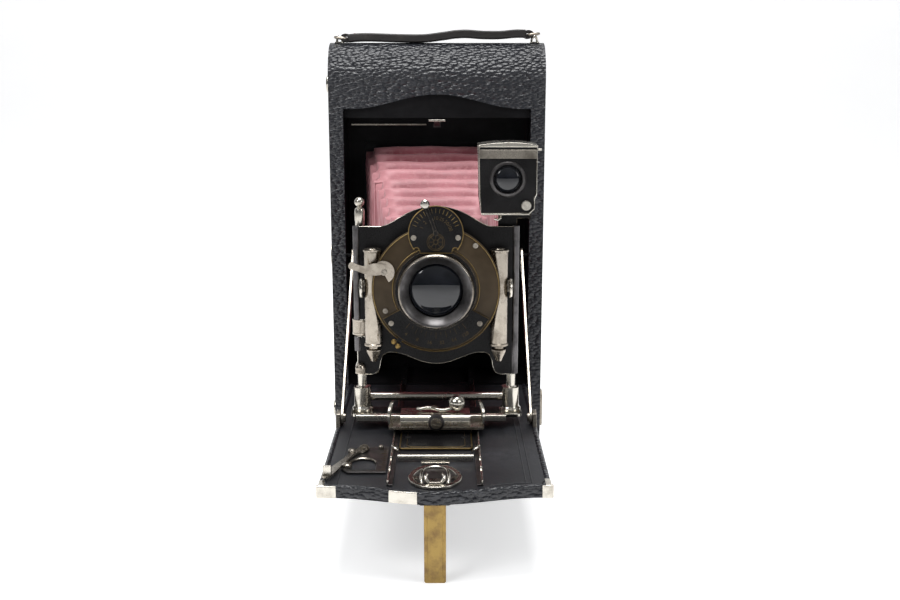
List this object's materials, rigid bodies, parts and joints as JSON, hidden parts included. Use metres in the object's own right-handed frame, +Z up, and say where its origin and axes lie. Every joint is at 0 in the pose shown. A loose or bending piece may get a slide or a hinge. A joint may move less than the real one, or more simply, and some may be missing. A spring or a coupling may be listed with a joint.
{
  "type": "folding roll-film camera",
  "caption": "Folding roll-film camera opened for use: leather-covered body, drop bed on struts, red bellows, sliding lens standard, shutter and finder.",
  "frame": {"origin": "middle of the flat of the body's lower end, on the surface it stands on", "axes": "+Z up along the body's height, -Y the way the lens looks, +X the winding-key side"},
  "size_m": [0.127, 0.2185, 0.2468],
  "materials": {
    "black_leather": "fine pebble grain, worn to grey at the edges",
    "brown_leather": "smooth strap leather, creased",
    "bellows_leather": "thin pleated leather, faded red",
    "black_enamel": "smooth black enamel, chipped at edges",
    "nickel": "worn nickel plating",
    "brass": "dull brass with patina",
    "bronze": "oxidised dark face with brass edge lines",
    "glass": "polished lens glass",
    "ruby": "ruby celluloid window",
    "wood": "stained dark"
  },
  "bodies": {
    "body": {"body_shell": "black_leather", "inner_tray": "black_enamel", "bed_hinge_rod": "nickel", "side_tripod_bush": "nickel", "upper_film_roller": "nickel", "lower_film_roller": "nickel", "handle_strap": "brown_leather", "strap_ring_left": "brass", "strap_ring_right": "brass", "strap_staple_left": "nickel", "strap_staple_right": "nickel", "bellows": "bellows_leather"},
    "bed": {"bed_board": "black_leather", "track_rail_left": "nickel", "track_rail_right": "nickel", "name_plate": "black_enamel", "track_stop_bar": "nickel", "door_catch_plate": "nickel", "focus_scale": "bronze", "leg_bracket": "nickel", "bed_tripod_bush": "nickel"},
    "left_strut": {"strut_left": "nickel"},
    "right_strut": {"strut_right": "nickel"},
    "carriage": {"carriage_sole": "black_enamel", "standard_base": "black_enamel", "front_cross_tube": "nickel", "rear_cross_tube": "nickel", "focus_clamp": "nickel", "post_left": "nickel", "post_right": "nickel"},
    "lens_standard": {"lens_board": "black_enamel", "shutter_case": "bronze", "air_cylinder_left": "nickel", "air_cylinder_right": "nickel", "speed_dial": "bronze", "lens_barrel": "black_enamel", "front_lens": "glass", "iris_diaphragm": "black_enamel", "rear_lens_cell": "black_enamel", "finder_bracket": "black_enamel"},
    "rise_nut": {"rise_nut": "nickel"},
    "finder": {"finder_body": "black_enamel", "finder_lens": "glass", "finder_hood": "nickel"},
    "release_lever": {"release_lever": "nickel"},
    "speed_pointer": {"speed_pointer": "nickel"},
    "aperture_lever": {"aperture_lever": "brass"},
    "focus_lock_lever": {"focus_lock_lever": "nickel"},
    "focus_scale_lever": {"focus_scale_lever": "nickel"},
    "leg": {"leg": "brass"},
    "takeup": {"winding_key": "nickel", "takeup_spool": "wood"},
    "supply": {"supply_spool": "wood"},
    "back": {"back_cover": "black_leather", "red_window": "ruby", "pressure_plate": "black_enamel"},
    "back_latch": {"back_latch": "nickel"},
    "bed_latch": {"bed_latch": "brass"},
    "spool_pin_lower": {"spool_pin_lower": "nickel"},
    "spool_pin_upper": {"spool_pin_upper": "nickel"}
  },
  "joints": [
    {"name": "bed_fold", "type": "hinge", "parent": "body", "child": "bed", "pos_m": [0, -0.024, 0.0411], "axis": [-1, 0, 0], "range_deg": [0, 15], "deforming": ["bellows"]},
    {"name": "strut_left_turn", "type": "hinge", "parent": "bed", "child": "left_strut", "pos_m": [-0.0487, -0.0995, 0.0492], "axis": [1, 0, 0], "range_deg": [0, 8.2]},
    {"name": "strut_right_turn", "type": "hinge", "parent": "bed", "child": "right_strut", "pos_m": [0.0487, -0.0995, 0.0492], "axis": [1, 0, 0], "range_deg": [0, 8.2]},
    {"name": "rack", "type": "slide", "parent": "bed", "child": "carriage", "axis": [0, -1, 0], "range_m": [-0.098, 0], "deforming": ["bellows"]},
    {"name": "rise", "type": "slide", "parent": "carriage", "child": "lens_standard", "axis": [0, 0, 1], "range_m": [-0.003, 0.01], "deforming": ["bellows"]},
    {"name": "rise_nut_turn", "type": "hinge", "parent": "lens_standard", "child": "rise_nut", "pos_m": [-0.0385, -0.094, 0.0965], "axis": [0, 0, 1], "range_deg": [0, 180]},
    {"name": "finder_turn", "type": "hinge", "parent": "lens_standard", "child": "finder", "pos_m": [0.0437, -0.0985, 0.1612], "axis": [0, 1, 0], "range_deg": [0, 90]},
    {"name": "release_press", "type": "hinge", "parent": "lens_standard", "child": "release_lever", "pos_m": [-0.026, -0.1115, 0.1278], "axis": [0, 1, 0], "range_deg": [0, 12], "stiffness_Nm_per_rad": 0.02},
    {"name": "speed_set", "type": "hinge", "parent": "lens_standard", "child": "speed_pointer", "pos_m": [0, -0.1105, 0.147], "axis": [0, 1, 0], "range_deg": [0, 80]},
    {"name": "aperture_set", "type": "hinge", "parent": "lens_standard", "child": "aperture_lever", "pos_m": [0, -0.1105, 0.1185], "axis": [0, -1, 0], "range_deg": [0, 55]},
    {"name": "focus_lock_turn", "type": "hinge", "parent": "carriage", "child": "focus_lock_lever", "pos_m": [0, -0.1112, 0.0575], "axis": [0, 0, 1], "range_deg": [0, 35]},
    {"name": "scale_lever_turn", "type": "hinge", "parent": "bed", "child": "focus_scale_lever", "pos_m": [-0.0345, -0.141, 0.047], "axis": [0, 0, 1], "range_deg": [0, 15]},
    {"name": "leg_fold", "type": "hinge", "parent": "bed", "child": "leg", "pos_m": [0, -0.1855, 0.0365], "axis": [1, 0, 0], "range_deg": [0, 90]},
    {"name": "key_turn", "type": "hinge", "parent": "body", "child": "takeup", "pos_m": [0, -0.0035, 0.024], "axis": [1, 0, 0], "continuous": true},
    {"name": "supply_turn", "type": "hinge", "parent": "body", "child": "supply", "pos_m": [0, -0.0035, 0.218], "axis": [1, 0, 0], "continuous": true},
    {"name": "back_slide", "type": "slide", "parent": "body", "child": "back", "axis": [0, 1, 0], "range_m": [0, 0.06]},
    {"name": "back_latch_slide", "type": "slide", "parent": "body", "child": "back_latch", "axis": [0, -1, 0], "range_m": [0, 0.008]},
    {"name": "bed_latch_press", "type": "hinge", "parent": "body", "child": "bed_latch", "pos_m": [-0.053, -0.0157, 0.1955], "axis": [0, 0, 1], "range_deg": [0, 2], "stiffness_Nm_per_rad": 1},
    {"name": "pin_lower_pull", "type": "slide", "parent": "body", "child": "spool_pin_lower", "axis": [-1, 0, 0], "range_m": [0, 0.01]},
    {"name": "pin_upper_pull", "type": "slide", "parent": "body", "child": "spool_pin_upper", "axis": [-1, 0, 0], "range_m": [0, 0.01]}
  ],
  "couplings": [
    {"joint": "strut_left_turn", "follows": "bed_fold", "ratio": 0.5315},
    {"joint": "strut_right_turn", "follows": "bed_fold", "ratio": 0.5315}
  ]
}
